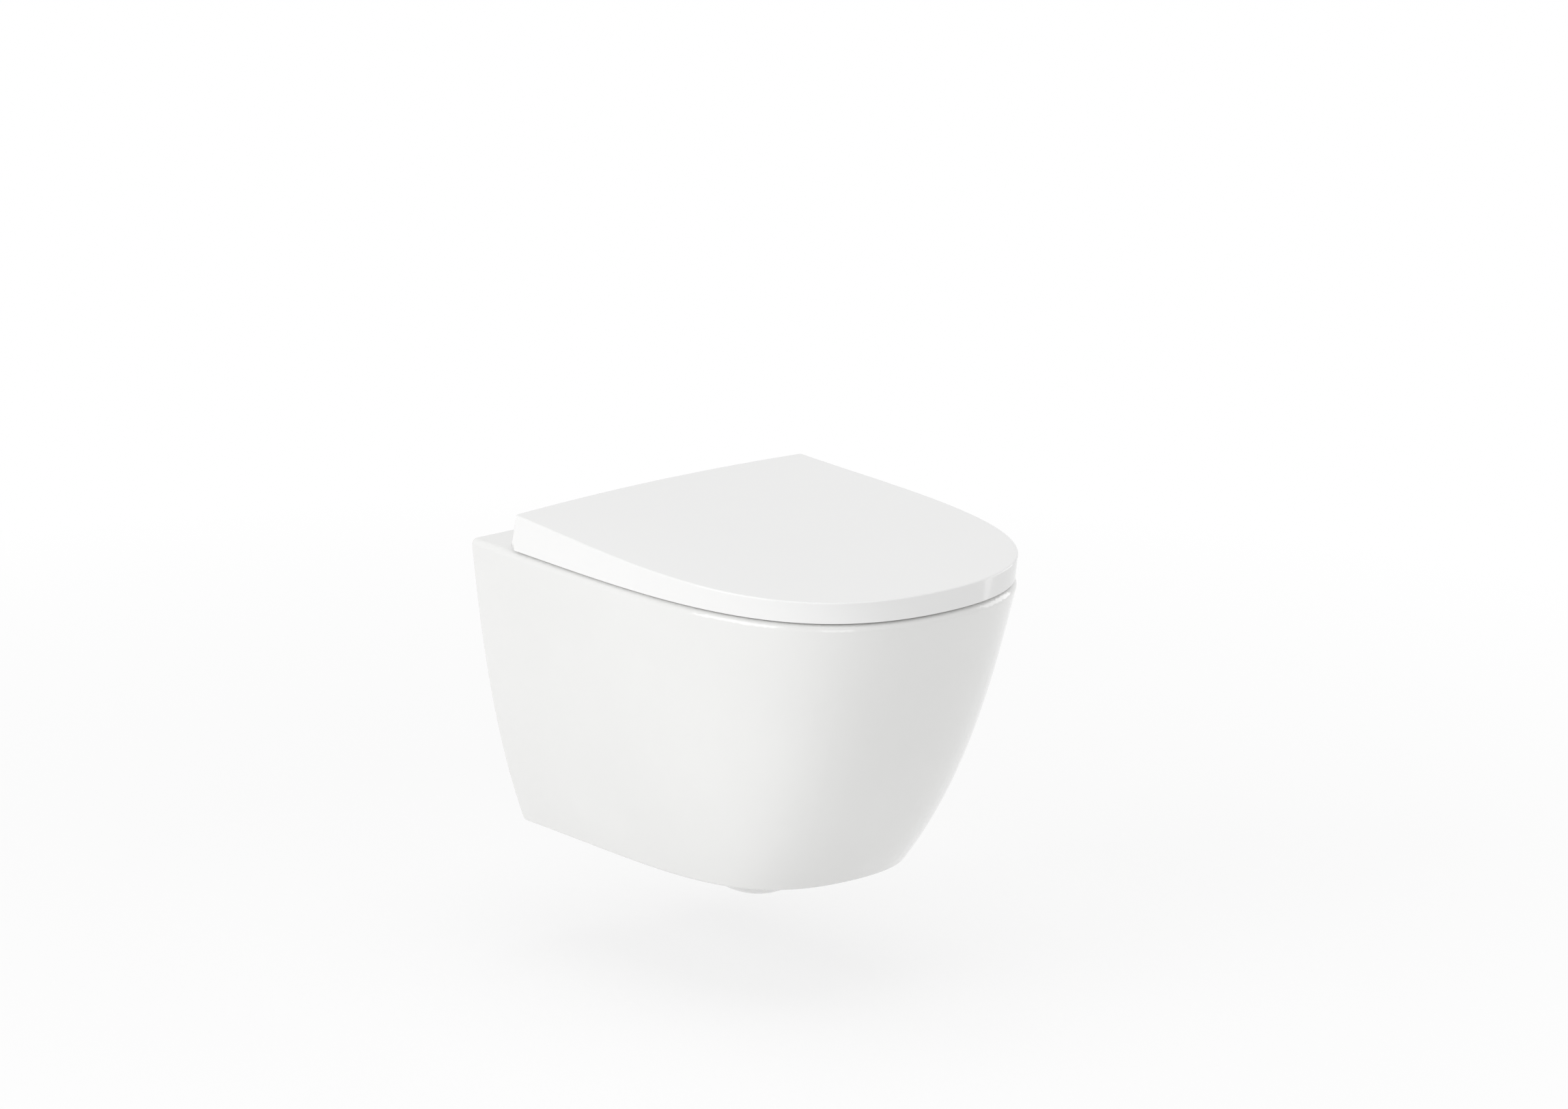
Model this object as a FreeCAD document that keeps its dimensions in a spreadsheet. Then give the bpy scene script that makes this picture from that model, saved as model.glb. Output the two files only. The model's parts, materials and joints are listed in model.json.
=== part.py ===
import FreeCAD, Part
import math
import os
import re
import Sketcher

# Wall hung toilet: ceramic pan, wrap-over lid, seat ring and quick-release soft-close hinges.
# Origin: midway between the two wall fixings, in the plane of the wall.
# +X is right seen from the front, +Y points into the wall, +Z is up. Millimetres.

doc = FreeCAD.newDocument("WallHungToilet")
sheet = doc.addObject("Spreadsheet::Sheet", "Sizes")

DRIVING_SIZES = (
    # connections to the wall frame and its pipes
    ("fixing_spacing", 180, "between the two wall fixings"),
    ("fixing_bore", 12.5, "bore for the M12 studs"),
    ("inlet_rise", 35, "flush inlet above the fixings"),
    ("outlet_drop", 100, "waste outlet below the fixings"),
    ("flush_pipe", 45, "outside of the flush pipe"),
    ("outlet_diameter", 102, "outside of the waste spigot"),
    ("spigot_recess", 3, "spigot end behind the wall face"),
    ("spigot_length", 28, "straight part of the waste spigot"),
    # pan, outside
    ("rim_height", 80, "rim above the fixings"),
    ("pan_width", 360, "width at the wall"),
    ("pan_length", 480, "wall to the front of the rim"),
    ("skirt_height", 287, "rim to the lower edge of the skirt"),
    ("foot_width", 238, "width at the wall, lower edge"),
    ("foot_length", 345, "wall to the front, lower edge"),
    ("rim_roll", 6, "rounding of the rim and the other outer edges"),
    ("wall_edge_roll", 4, "rounding of the edges at the wall"),
    # pan, inside
    ("china_wall", 11, "thickness of the skirt and the trapway"),
    ("deck_thickness", 13, "thickness of the rim and the deck"),
    ("wall_plate", 12, "thickness of the plate at the wall"),
    ("rim_width", 39, "rim between bowl and outside"),
    ("bowl_setback", 108, "wall to the back of the bowl"),
    ("bowl_depth", 220, "rim to the throat of the bowl"),
    ("bowl_lip", 8, "rounding of the bowl's upper edge"),
    ("throat_width", 74, "bore of the trapway"),
    ("throat_front", 307, "wall to the front of the throat"),
    ("throat_back", 213, "wall to the back of the throat"),
    ("sump_setback", 172.5, "wall to the corner of the sump"),
    ("sump_depth", 356, "rim to the corner of the sump"),
    ("bend_room", 2, "inner radius of the trapway's bends, outside of the china"),
    ("weir_setback", 115, "wall to the corner of the weir"),
    ("weir_depth", 131.5, "rim to the corner of the weir"),
    ("knee_setback", 41.5, "wall to the last bend of the trapway"),
    ("inlet_socket", 55, "bore of the flush socket"),
    ("socket_depth", 48, "depth of the flush socket"),
    ("inlet_channel", 42, "bore from the socket to the bowl"),
    ("boss_width", 52, "bosses round the fixing holes"),
    ("boss_depth", 28, "wall face to the front of the bosses"),
    ("outlet_arch", 144, "open arch of the wall plate round the spigot"),
    # hinge hardware
    ("hinge_spacing", 155, "between the two hinge holes"),
    ("hinge_hole", 14, "hinge holes in the deck"),
    ("axis_height", 20, "hinge axis above the deck"),
    ("axis_setback", 72.5, "wall to the hinge axis"),
    ("pillar_ahead", 7, "pillar in front of the hinge axis"),
    ("pillar_width", 12, "diameter of the pillars"),
    ("pillar_top_gap", 6.5, "pillar top below the hinge axis"),
    ("base_width", 26, "foot of a pillar"),
    ("base_thickness", 2, "foot of a pillar"),
    ("gasket_thickness", 0.8, "soft disc under a pillar"),
    ("bolt_width", 8, "hinge bolts"),
    ("bolt_reach", 46, "hinge bolt below the rim"),
    ("bolt_grip", 8, "hinge bolt inside the pillar"),
    ("sleeve_bulge", 19, "rubber sleeve below the deck"),
    ("sleeve_length", 18, "rubber sleeve below the deck"),
    ("cone_height", 10, "cone nut"),
    ("knuckle_width", 16, "diameter of the hinge knuckles"),
    ("block_width", 23, "hinge block along the axis"),
    ("block_ahead", 19, "hinge block in front of the axis"),
    ("block_shoulder", 3, "front corner of the block below the axis"),
    ("pin_width", 8, "diameter of the hinge pins"),
    ("lug_width", 16, "seat and lid lugs along the axis"),
    ("lug_gap", 0.4, "between a block and a lug"),
    ("bush_width", 12.8, "outside of bushes and dampers"),
    ("rotor_width", 10.4, "damper rotor"),
    ("running_gap", 0.05, "radial clearance of what turns or slides"),
    ("close_gap", 0.3, "clearance of what must not touch"),
    # release buttons
    ("button_travel", 3, "travel of a release button"),
    ("latch_drop", 11.5, "latch plate below the hinge axis"),
    ("latch_thickness", 2, "latch plate"),
    ("latch_width", 18, "latch plate"),
    ("latch_bar", 1.6, "latch plate behind the pillar"),
    ("latch_gap", 0.08, "between the latch plate and the pillar's back"),
    ("press_gap", 0.4, "between the pressed latch plate and the pillar's front"),
    ("button_width", 12, "button cap"),
    ("button_height", 7, "button cap"),
    ("button_proud", 3.5, "button cap in front of its block"),
    ("spring_width", 4.8, "outside of a release spring"),
    ("spring_wire", 0.5, "wire of a release spring"),
    # seat ring
    ("seat_gap", 3, "under the seat ring, filled by its buffers"),
    ("seat_side_inset", 11, "ring inside the pan's side, at the wall line of its plan"),
    ("seat_front_inset", 12.5, "ring inside the pan's front"),
    ("seat_setback", 98.5, "wall to the back of the ring"),
    ("seat_front_rise", 13, "top of the ring above the rim, at the front"),
    ("seat_slope", 0.018, "rise of the ring's top per millimetre"),
    ("ring_side", 56, "width of the ring at its sides"),
    ("ring_front", 51.5, "width of the ring at its front"),
    ("ring_back", 53.5, "width of the ring at its back"),
    ("seat_wall", 7, "walls under the ring"),
    ("seat_skin", 5, "top skin of the ring"),
    ("seat_edge", 4, "rounding of the ring's upper edges"),
    # lid
    ("lid_gap", 1.6, "under the edge of the lid"),
    ("lid_side_inset", 2, "lid edge inside the pan's side"),
    ("lid_front_inset", 3, "lid edge inside the pan's front"),
    ("crest_side_inset", 6.6, "lid's upper edge inside the pan's side, at the wall line of its plan"),
    ("crest_front_inset", 6.7, "lid's upper edge inside the pan's front"),
    ("lid_front_rise", 20.4, "lid's top above the rim, at the front"),
    ("lid_slope", 0.031, "rise of the lid's top per millimetre"),
    ("lid_crown", 2.8, "crown of the lid's top at its back"),
    ("lid_setback", 57.7, "wall to the lid's rear corners"),
    ("lid_bow", 3.4, "rear edge of the lid, bowed towards the wall"),
    ("lid_wall", 4, "thickness of the lid"),
    ("lid_edge", 1.6, "rounding of the lid's upper edge"),
    ("rear_edge_lift", 8, "lower edge of the lid's back below the axis"),
    ("notch_rise", 2.2, "top of the lid's notches above the knuckles, clear of the blocks when open"),
    ("notch_side_room", 2.5, "lid's notches beside the blocks"),
    ("lug_side_room", 4.1, "raised edge of the lid's back beside the lugs"),
    # buffers
    ("seat_buffer_width", 18, "rubber buffers under the ring"),
    ("front_buffer_offset", 58, "front buffers of the ring, from the middle"),
    ("front_buffer_inset", 20.5, "front buffers of the ring, from its front"),
    ("side_buffer_inset", 12, "side buffers of the ring, from its side"),
    ("side_buffer_setback", 215, "wall to the side buffers of the ring"),
    ("lid_buffer_width", 14, "rubber buffers under the lid"),
    ("lid_buffer_offset", 70, "lid buffers, from the middle"),
    ("lid_buffer_inset", 35.5, "lid buffers, from the ring's front"),
    ("stem_width", 5, "stems of the buffers"),
    # wall fixing kit and inlet seal
    ("sleeve_wall", 5.6, "fixing sleeve"),
    ("flange_thickness", 3, "flange of the fixing sleeve"),
    ("flange_width", 38, "flange of the fixing sleeve"),
    ("washer_thickness", 2.5, "fixing washer"),
    ("washer_width", 34, "fixing washer"),
    ("nut_width", 18, "M12 nut across flats"),
    ("nut_thickness", 10.8, "M12 nut"),
    ("nut_thread", 11, "M12 thread, drawn plain"),
    ("seal_length", 26, "inlet seal"),
)

for row, (alias, value, note) in enumerate(DRIVING_SIZES, start=1):
    sheet.set(f"A{row}", alias)
    sheet.set(f"B{row}", str(value))
    sheet.set(f"C{row}", note)
    sheet.setAlias(f"B{row}", alias)
doc.recompute()

# The plan narrows downwards by these shares of the whole taper: first, second and third power.
SIDE_TAPER = (0.505, 0.164, 0.331)
FRONT_TAPER = (0.658, -0.071, 0.413)
FLANK_SHARE = 0.469  # length of the side handle of the plan curve, of the pan's length
FLANK_DROP = 0.046  # the same handle shortens by this share towards the foot
NOSE_SHARE = 1.2  # half-width of the front handle, of the half-width at the wall
NOSE_GAIN = 0.055
CREST_FLANK = 0.371  # the lid's upper edge has handles of its own
CREST_FLANK_WIDTH = 0.917
CREST_NOSE = 1.395
SIDES = ((-1, "left"), (1, "right"))


def size(alias):
    return float(sheet.get(alias))


def bound(text):
    """Turns size names in a formula into references to the sheet."""
    return re.sub(r"\b[a-z]+(?:_[a-z]+)+\b", lambda found: "Sizes." + found.group(), text)


def point(x, y, z):
    return FreeCAD.Vector(x, y, z)


# ---------------------------------------------------------------- bound primitives

TURNS = {
    "X": FreeCAD.Rotation(point(0, 1, 0), 90),
    "Y": FreeCAD.Rotation(point(1, 0, 0), -90),
    "Z": FreeCAD.Rotation(),
}


def place(feature, x, y, z, axis="Z"):
    feature.Placement = FreeCAD.Placement(point(0, 0, 0), TURNS[axis])
    for letter, text in zip("xyz", (x, y, z)):
        feature.setExpression(f"Placement.Base.{letter}", bound(text))
    return feature


def rod(name, width, length, x, y, z, axis="Z"):
    """Round bar of a diameter, from its start point along an axis."""
    feature = doc.addObject("Part::Cylinder", name)
    feature.setExpression("Radius", bound(f"({width}) / 2"))
    feature.setExpression("Height", bound(length))
    return place(feature, x, y, z, axis)


def cone(name, low_width, high_width, length, x, y, z, axis="Z"):
    feature = doc.addObject("Part::Cone", name)
    feature.setExpression("Radius1", bound(f"({low_width}) / 2"))
    feature.setExpression("Radius2", bound(f"({high_width}) / 2"))
    feature.setExpression("Height", bound(length))
    return place(feature, x, y, z, axis)


def bar(name, long_x, long_y, long_z, x, y, z):
    feature = doc.addObject("Part::Box", name)
    feature.setExpression("Length", bound(long_x))
    feature.setExpression("Width", bound(long_y))
    feature.setExpression("Height", bound(long_z))
    return place(feature, x, y, z)


def fuse(name, *parts):
    feature = doc.addObject("Part::MultiFuse", name)
    feature.Shapes = list(parts)
    return feature


def cut(name, base, *tools):
    feature = doc.addObject("Part::Cut", name)
    feature.Base = base
    feature.Tool = tools[0] if len(tools) == 1 else fuse(name + "_tools", *tools)
    return feature


def group(name, *parts):
    feature = doc.addObject("Part::Compound", name)
    feature.Links = list(parts)
    return feature


def formed(name, shape):
    feature = doc.addObject("Part::Feature", name)
    feature.Shape = shape
    return feature


# ---------------------------------------------------------------- free-form helpers


def bezier(poles):
    curve = Part.BezierCurve()
    curve.setPoles(poles)
    return curve.toShape()


def plan_wire(poles):
    """Closed plan from the right half's four control points: both flanks and the wall line."""
    mirrored = [point(-pole.x, pole.y, pole.z) for pole in reversed(poles)]
    wall_line = Part.LineSegment(mirrored[-1], poles[0]).toShape()
    return Part.Wire([bezier(poles), bezier(mirrored), wall_line])


def taper(top, foot, shares, depth):
    first, second, third = shares
    return top - (top - foot) * (first * depth + second * depth**2 + third * depth**3)


def pan_poles(depth, inset=0.0, front_inset=None):
    """Right half of the pan's plan at a share of the skirt's height, 0 at the rim and 1 at the foot."""
    front_inset = inset if front_inset is None else front_inset
    half = taper(size("pan_width"), size("foot_width"), SIDE_TAPER, depth) / 2 - inset
    front = taper(size("pan_length"), size("foot_length"), FRONT_TAPER, depth) - front_inset
    flank = size("pan_length") * (FLANK_SHARE - FLANK_DROP * depth)
    nose = half * (NOSE_SHARE + NOSE_GAIN * depth**2)
    z = size("rim_height") - size("skirt_height") * depth
    return [point(half, 0, z), point(half, -flank, z), point(nose, -front, z), point(0, -front, z)]


def loft(wires, ruled=False):
    """Solid through the wires, which go clockwise seen from above, from the highest down."""
    return Part.makeLoft(wires, True, ruled)


def egg(half_width, front, back, z, handle):
    """Closed oval of four arcs, widest a little nearer its back."""
    middle = -(back + 0.46 * (front - back))
    corners = ((0, -back), (half_width, middle), (0, -front), (-half_width, middle))
    arcs = []
    for start, end in zip(corners, corners[1:] + corners[:1]):
        along_x = start[0] == 0
        first = (handle * (end[0] - start[0]), 0) if along_x else (0, handle * (end[1] - start[1]))
        last = (0, handle * (end[1] - start[1])) if along_x else (handle * (end[0] - start[0]), 0)
        arcs.append(
            bezier(
                [
                    point(start[0], start[1], z),
                    point(start[0] + first[0], start[1] + first[1], z),
                    point(end[0] - last[0], end[1] - last[1], z),
                    point(end[0], end[1], z),
                ]
            )
        )
    return Part.Wire(arcs)


def bowl_loft(grow, depths):
    """The bowl's cavity, or its outside when grown: it narrows with the square of the depth."""
    rim_half = size("pan_width") / 2 - size("rim_width")
    rim_front = size("pan_length") - size("rim_width")
    sections = []
    for depth in depths:
        share = depth**2
        half = rim_half + (size("throat_width") / 2 - rim_half) * share
        front = rim_front + (size("throat_front") - rim_front) * share
        back = size("bowl_setback") + (size("throat_back") - size("bowl_setback")) * share
        z = size("rim_height") - size("bowl_depth") * depth
        handle = 0.62 - 0.068 * max(depth, 0)
        sections.append(egg(half + grow, front + grow, back - grow, z, handle))
    return loft(sections)


def rounded_route(corners, radii):
    """Straight runs in the YZ plane joined by tangent arcs at the inner corners."""
    edges = []
    last = corners[0]
    for before, corner, after, radius in zip(corners, corners[1:], corners[2:], radii):
        arriving = (before - corner).normalize()
        leaving = (after - corner).normalize()
        half_angle = arriving.getAngle(leaving) / 2
        start = corner + arriving * (radius / math.tan(half_angle))
        end = corner + leaving * (radius / math.tan(half_angle))
        to_centre = (arriving + leaving).normalize()
        middle = corner + to_centre * (radius / math.sin(half_angle) - radius)
        edges.append(Part.LineSegment(last, start).toShape())
        edges.append(Part.Arc(start, middle, end).toShape())
        last = end
    edges.append(Part.LineSegment(last, corners[-1]).toShape())
    return Part.Wire(edges)


def pipe(route, radius):
    start = route.Edges[0]
    circle = Part.makeCircle(radius, start.valueAt(start.FirstParameter), start.tangentAt(0))
    return route.makePipeShell([Part.Wire([circle])], True, False)


def y_rod(radius, x, z, front, back):
    """Round bar along Y between two distances from the wall."""
    return Part.makeCylinder(radius, front - back, point(x, -front, z), point(0, 1, 0))


def z_rod(radius, x, y, low, high):
    return Part.makeCylinder(radius, high - low, point(x, y, low))


def x_rod(radius, x_low, x_high, y, z):
    return Part.makeCylinder(radius, x_high - x_low, point(x_low, y, z), point(1, 0, 0))


def brick(x_low, x_high, y_low, y_high, z_low, z_high):
    spans = (x_high - x_low, y_high - y_low, z_high - z_low)
    return Part.makeBox(*spans, point(x_low, y_low, z_low))


def edges_of(shape, keep):
    return [edge for edge in shape.Edges if keep(edge)]


def rim_edges(z):
    """Picks curved edges that lie level at a height and away from the wall line."""

    def keep(edge):
        box = edge.BoundBox
        return abs(box.ZMin - z) < 0.01 and abs(box.ZMax - z) < 0.01 and box.YLength > 1

    return keep


# ---------------------------------------------------------------- pan

deck = size("rim_height")
foot = deck - size("skirt_height")
axis_y = -size("axis_setback")
axis_z = deck + size("axis_height")
pillar_y = axis_y - size("pillar_ahead")
hinge_x = size("hinge_spacing") / 2
fixing_x = size("fixing_spacing") / 2
pan_half = size("pan_width") / 2
seat_half = pan_half - size("seat_side_inset")
seat_front = size("pan_length") - size("seat_front_inset")
crest_half = pan_half - size("crest_side_inset")
crest_front = size("pan_length") - size("crest_front_inset")
beyond = pan_half + 80  # half-width of cutting tools, past both sides of the pan


def with_flat_back(body):
    """The same solid, with a true plane for the face that lies in the wall plane."""
    free = [face for face in body.Faces if face.BoundBox.YMin < -0.001]
    back = next(face for face in body.Faces if face.BoundBox.YMin >= -0.001)
    wall = Part.Plane(point(0, 0, 0), point(0, 1, 0))
    return Part.makeSolid(Part.makeShell([*free, Part.Face(wall, [back.OuterWire])]))


def pan_outside():
    body = with_flat_back(loft([plan_wire(pan_poles(depth)) for depth in (0, 1 / 3, 2 / 3, 1)]))
    upper = edges_of(body, rim_edges(deck))
    lower = edges_of(body, rim_edges(foot))
    body = body.makeFillet(size("rim_roll"), upper + lower)

    def at_wall(edge):
        box = edge.BoundBox
        return box.YMin > -0.01 and box.ZLength > 50

    return body.makeFillet(size("wall_edge_roll"), edges_of(body, at_wall))


def pan_hollow():
    under_deck = size("deck_thickness") / size("skirt_height")
    depths = [under_deck + (1.02 - under_deck) * share / 3 for share in range(4)]
    inside = loft([plan_wire(pan_poles(depth, size("china_wall"))) for depth in depths])
    behind = brick(-beyond, beyond, -size("wall_plate"), 50, foot - 50, deck + 50)
    return inside.cut(behind)


def outlet_arch():
    """The wall plate is open round the spigot and below it."""
    radius = size("outlet_arch") / 2
    z = -size("outlet_drop")
    deep = size("wall_plate") + 2
    round_top = y_rod(radius, 0, z, deep, -10)
    return round_top.fuse(brick(-radius, radius, -deep, 10, foot - 20, z))


def trap_route():
    outlet_z = -size("outlet_drop")
    throat_y = -(size("throat_front") + size("throat_back")) / 2
    sump = point(0, -size("sump_setback"), deck - size("sump_depth"))
    throat = point(0, throat_y - 18, deck - size("bowl_depth") + 22)
    weir = point(0, -size("weir_setback"), deck - size("weir_depth"))
    knee = point(0, -size("knee_setback"), outlet_z)
    outlet = point(0, -size("spigot_recess"), outlet_z)
    bend = size("throat_width") / 2 + size("china_wall") + size("bend_room")
    return rounded_route([throat, sump, weir, knee, outlet], (bend, bend, bend))


def make_pan():
    china = size("china_wall")
    throat = size("throat_width") / 2
    outlet_z = -size("outlet_drop")
    inlet_z = size("inlet_rise")
    route = trap_route()
    spigot_front = size("spigot_recess") + size("spigot_length")
    shell = pan_outside().cut(pan_hollow()).cut(outlet_arch())
    inlet_radius = size("inlet_socket") / 2 + china - 2
    inner_works = [
        bowl_loft(china + 2, (0.03, 0.25, 0.5, 0.75, 1)),
        pipe(route, throat + china),
        y_rod(size("outlet_diameter") / 2, 0, outlet_z, spigot_front, size("spigot_recess")),
        y_rod(inlet_radius, 0, inlet_z, size("bowl_setback") + 6, 1),
    ]
    for side, _ in SIDES:
        inner_works.append(y_rod(size("boss_width") / 2, side * fixing_x, 0, size("boss_depth"), 1))
    body = shell.fuse(inner_works)
    bores = [
        bowl_loft(0, (-0.03, 0.25, 0.5, 0.75, 1)),
        pipe(route, throat),
        y_rod(throat, 0, outlet_z, size("spigot_recess") + 1, -5),
        y_rod(size("inlet_socket") / 2, 0, inlet_z, size("socket_depth"), -5),
        y_rod(size("inlet_channel") / 2, 0, inlet_z, size("bowl_setback") + 40, 5),
    ]
    sleeve_radius = size("fixing_bore") / 2 + size("sleeve_wall")
    for side, _ in SIDES:
        bores.append(y_rod(sleeve_radius + size("running_gap"), side * fixing_x, 0, 60, -5))
        bores.append(z_rod(size("hinge_hole") / 2, side * hinge_x, pillar_y, deck - 30, deck + 5))
    for bore in bores:
        body = body.cut(bore)
    body = body.removeSplitter()

    def bowl_mouth(edge):
        box = edge.BoundBox
        level = abs(box.ZMin - deck) < 0.01 and abs(box.ZMax - deck) < 0.01
        mouth_half = pan_half - size("rim_width") + 4
        beside = abs(box.XMin) < mouth_half and abs(box.XMax) < mouth_half
        return level and beside and box.YMax < -size("bowl_setback") + 1 and box.YLength > 20

    return body.makeFillet(size("bowl_lip"), edges_of(body, bowl_mouth))


pan = formed("pan", make_pan())

# ---------------------------------------------------------------- lid


def behind_lid(shift):
    """Everything behind the lid's back, which bows towards the wall."""
    y = -size("lid_setback") + shift
    bow = size("lid_bow")
    spread = bow * ((beyond / crest_half) ** 2 - 1)
    left, right = point(-beyond, y - spread, deck - 30), point(beyond, y - spread, deck - 30)
    back = Part.Arc(left, point(0, y + bow, deck - 30), right).toShape()
    corners = [right, point(beyond, 60, deck - 30), point(-beyond, 60, deck - 30), left]
    lines = [Part.LineSegment(a, b).toShape() for a, b in zip(corners, corners[1:])]
    return Part.Face(Part.Wire([back, *lines])).extrude(point(0, 0, 120))


def sloped_top(front_rise, front_length, slope, crown, drop):
    """Everything under a top that rises towards the wall and is crowned more and more."""
    profiles = []
    for y in (-front_length - 40, 40):
        z = deck + front_rise + slope * (y + front_length) - drop
        sag = crown * max((y + front_length) / (front_length - size("lid_setback")), 0.01)
        low = z - sag * ((beyond / crest_half) ** 2 - 1)
        ends = point(-beyond, y, low), point(beyond, y, low)
        top = Part.Arc(ends[0], point(0, y, z + sag), ends[1]) if crown else Part.LineSegment(*ends)
        corners = [
            point(beyond, y, low),
            point(beyond, y, deck - 30),
            point(-beyond, y, deck - 30),
            point(-beyond, y, low),
        ]
        lines = [Part.LineSegment(a, b).toShape() for a, b in zip(corners, corners[1:])]
        profiles.append(Part.Wire([top.toShape(), *lines]))
    return loft(profiles, True)


def lid_block(inset, drop, below):
    """Solid lid: its flanks run from the lower edge through the upper edge and a little past it."""
    low_poles = pan_poles(0, size("lid_side_inset"), size("lid_front_inset"))
    low_z = deck + size("lid_gap")
    crest_plan = (
        (crest_half, 0),
        (crest_half * CREST_FLANK_WIDTH, -crest_front * CREST_FLANK),
        (crest_half * CREST_NOSE, -crest_front),
        (0, -crest_front),
    )
    narrow = point(1 - inset / crest_half, 1 - inset / crest_front, 0)
    levels = (deck + size("lid_front_rise") + size("lid_slope") * crest_front + 10, low_z - below)
    wires = []
    for level in levels:
        poles = []
        for pole, (x, y) in zip(low_poles, crest_plan):
            base = point(pole.x, pole.y, low_z)
            crest = point(x, y, deck + size("lid_front_rise") + size("lid_slope") * (y + crest_front))
            spot = base + (crest - base) * ((level - low_z) / (crest.z - low_z))
            poles.append(point(spot.x * narrow.x, spot.y * narrow.y, level))
        wires.append(plan_wire(poles))
    block = loft(wires, True)
    top = sloped_top(size("lid_front_rise"), crest_front, size("lid_slope"), size("lid_crown"), drop)
    return block.common(top).cut(behind_lid(-inset))


def swing_clearance():
    """What the lid's back would touch on the deck when it opens."""
    radius = size("axis_height") - size("close_gap") * 1.5
    swing = x_rod(radius, -beyond - 1, beyond + 1, axis_y, axis_z)
    return brick(-beyond, beyond, axis_y, axis_y + 60, deck - 10, axis_z).cut(swing)


def lug_span(side, place_name):
    """X range of a seat lug, inboard of its block, or of a lid lug, outboard."""
    near = size("block_width") / 2 + size("lug_gap")
    far = near + size("lug_width")
    inboard = place_name == "seat"
    ends = (hinge_x - far, hinge_x - near) if inboard else (hinge_x + near, hinge_x + far)
    return sorted((side * ends[0], side * ends[1]))


def bush_pocket(side, place_name):
    """Blind bore of a lug, open towards the block."""
    low, high = lug_span(side, place_name)
    end_wall = 1.5
    toward_block = (side > 0) == (place_name == "seat")
    low, high = (low + end_wall, high + 1) if toward_block else (low - 1, high - end_wall)
    return x_rod(size("bush_width") / 2, low, high, axis_y, axis_z)


def hinge_notches():
    """Openings in the lid's back: deep ones for the blocks, shallow ones for the seat's arms."""
    tools = []
    for side, _ in SIDES:
        x = side * hinge_x
        front = axis_y + size("knuckle_width") / 2 + 1
        half = size("block_width") / 2 + size("notch_side_room")
        top = axis_z + size("knuckle_width") / 2 + size("notch_rise")
        tools.append(brick(x - half, x + half, front, -20, deck - 5, top))
        half = size("block_width") / 2 + size("lug_gap") + size("lug_width") + size("lug_side_room")
        tools.append(brick(x - half, x + half, front, -20, deck - 5, axis_z - size("rear_edge_lift")))
    return tools


def lid_buffer_spots():
    y = size("lid_buffer_inset") - seat_front
    return [(side * size("lid_buffer_offset"), y) for side, _ in SIDES]


def make_lid():
    outside = lid_block(0, 0, 0)
    inside = lid_block(size("lid_wall"), size("lid_wall"), 5)

    def rear_corner(edge):
        box = edge.BoundBox
        upright = box.ZLength > 15 and box.XLength < 12
        return upright and box.YMin > -size("lid_setback") - 8

    outside = outside.makeFillet(4, edges_of(outside, rear_corner))

    def upper_edge(edge):
        box = edge.BoundBox
        return box.ZMin > deck + size("lid_front_rise") - 3

    outside = outside.makeFillet(size("lid_edge"), edges_of(outside, upper_edge))
    shell = outside.cut(inside).cut(swing_clearance())
    for notch in hinge_notches():
        shell = shell.cut(notch)
    for side, _ in SIDES:
        low, high = lug_span(side, "lid")
        knuckle = x_rod(size("knuckle_width") / 2, low, high, axis_y, axis_z)
        web = brick(low, high, axis_y - 7, axis_y + 7, axis_z, axis_z + 30)
        lug = knuckle.fuse(web.common(outside)).cut(bush_pocket(side, "lid"))
        shell = shell.fuse(lug)
    for x, y in lid_buffer_spots():
        shell = shell.cut(z_rod(size("stem_width") / 2, x, y, deck, deck + size("lid_front_rise") - 1.6))
    return shell.removeSplitter()


lid = formed("lid", make_lid())

# ---------------------------------------------------------------- seat ring


def seat_poles(inset, z):
    half = seat_half - inset
    front = seat_front - inset
    flank = seat_front * FLANK_SHARE
    return [
        point(half, 0, z),
        point(half, -flank, z),
        point(half * NOSE_SHARE, -front, z),
        point(0, -front, z),
    ]


def seat_block(inset, drop, grow_opening, below=0):
    low = deck + size("seat_gap") - below
    outline = loft([plan_wire(seat_poles(inset, z)) for z in (low + 40, low)], True)
    behind = brick(-beyond, beyond, -size("seat_setback") - inset, 20, low - 10, low + 80)
    half = seat_half - size("ring_side") + grow_opening
    front = seat_front - size("ring_front") + grow_opening
    back = size("seat_setback") + size("ring_back") - grow_opening
    hole = loft([egg(half, front, back, z, 0.6) for z in (low + 60, low - 5)], True)
    top = sloped_top(size("seat_front_rise"), seat_front, size("seat_slope"), 0, drop)
    return outline.cut(behind).common(top).cut(hole)


def seat_buffer_spots():
    front_spot = (size("front_buffer_offset"), size("front_buffer_inset") - seat_front)
    side_spot = (seat_half - size("side_buffer_inset"), -size("side_buffer_setback"))
    return [(side * x, y) for side, _ in SIDES for x, y in (front_spot, side_spot)]


def seat_top(y):
    return deck + size("seat_front_rise") + size("seat_slope") * (y + seat_front)


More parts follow.
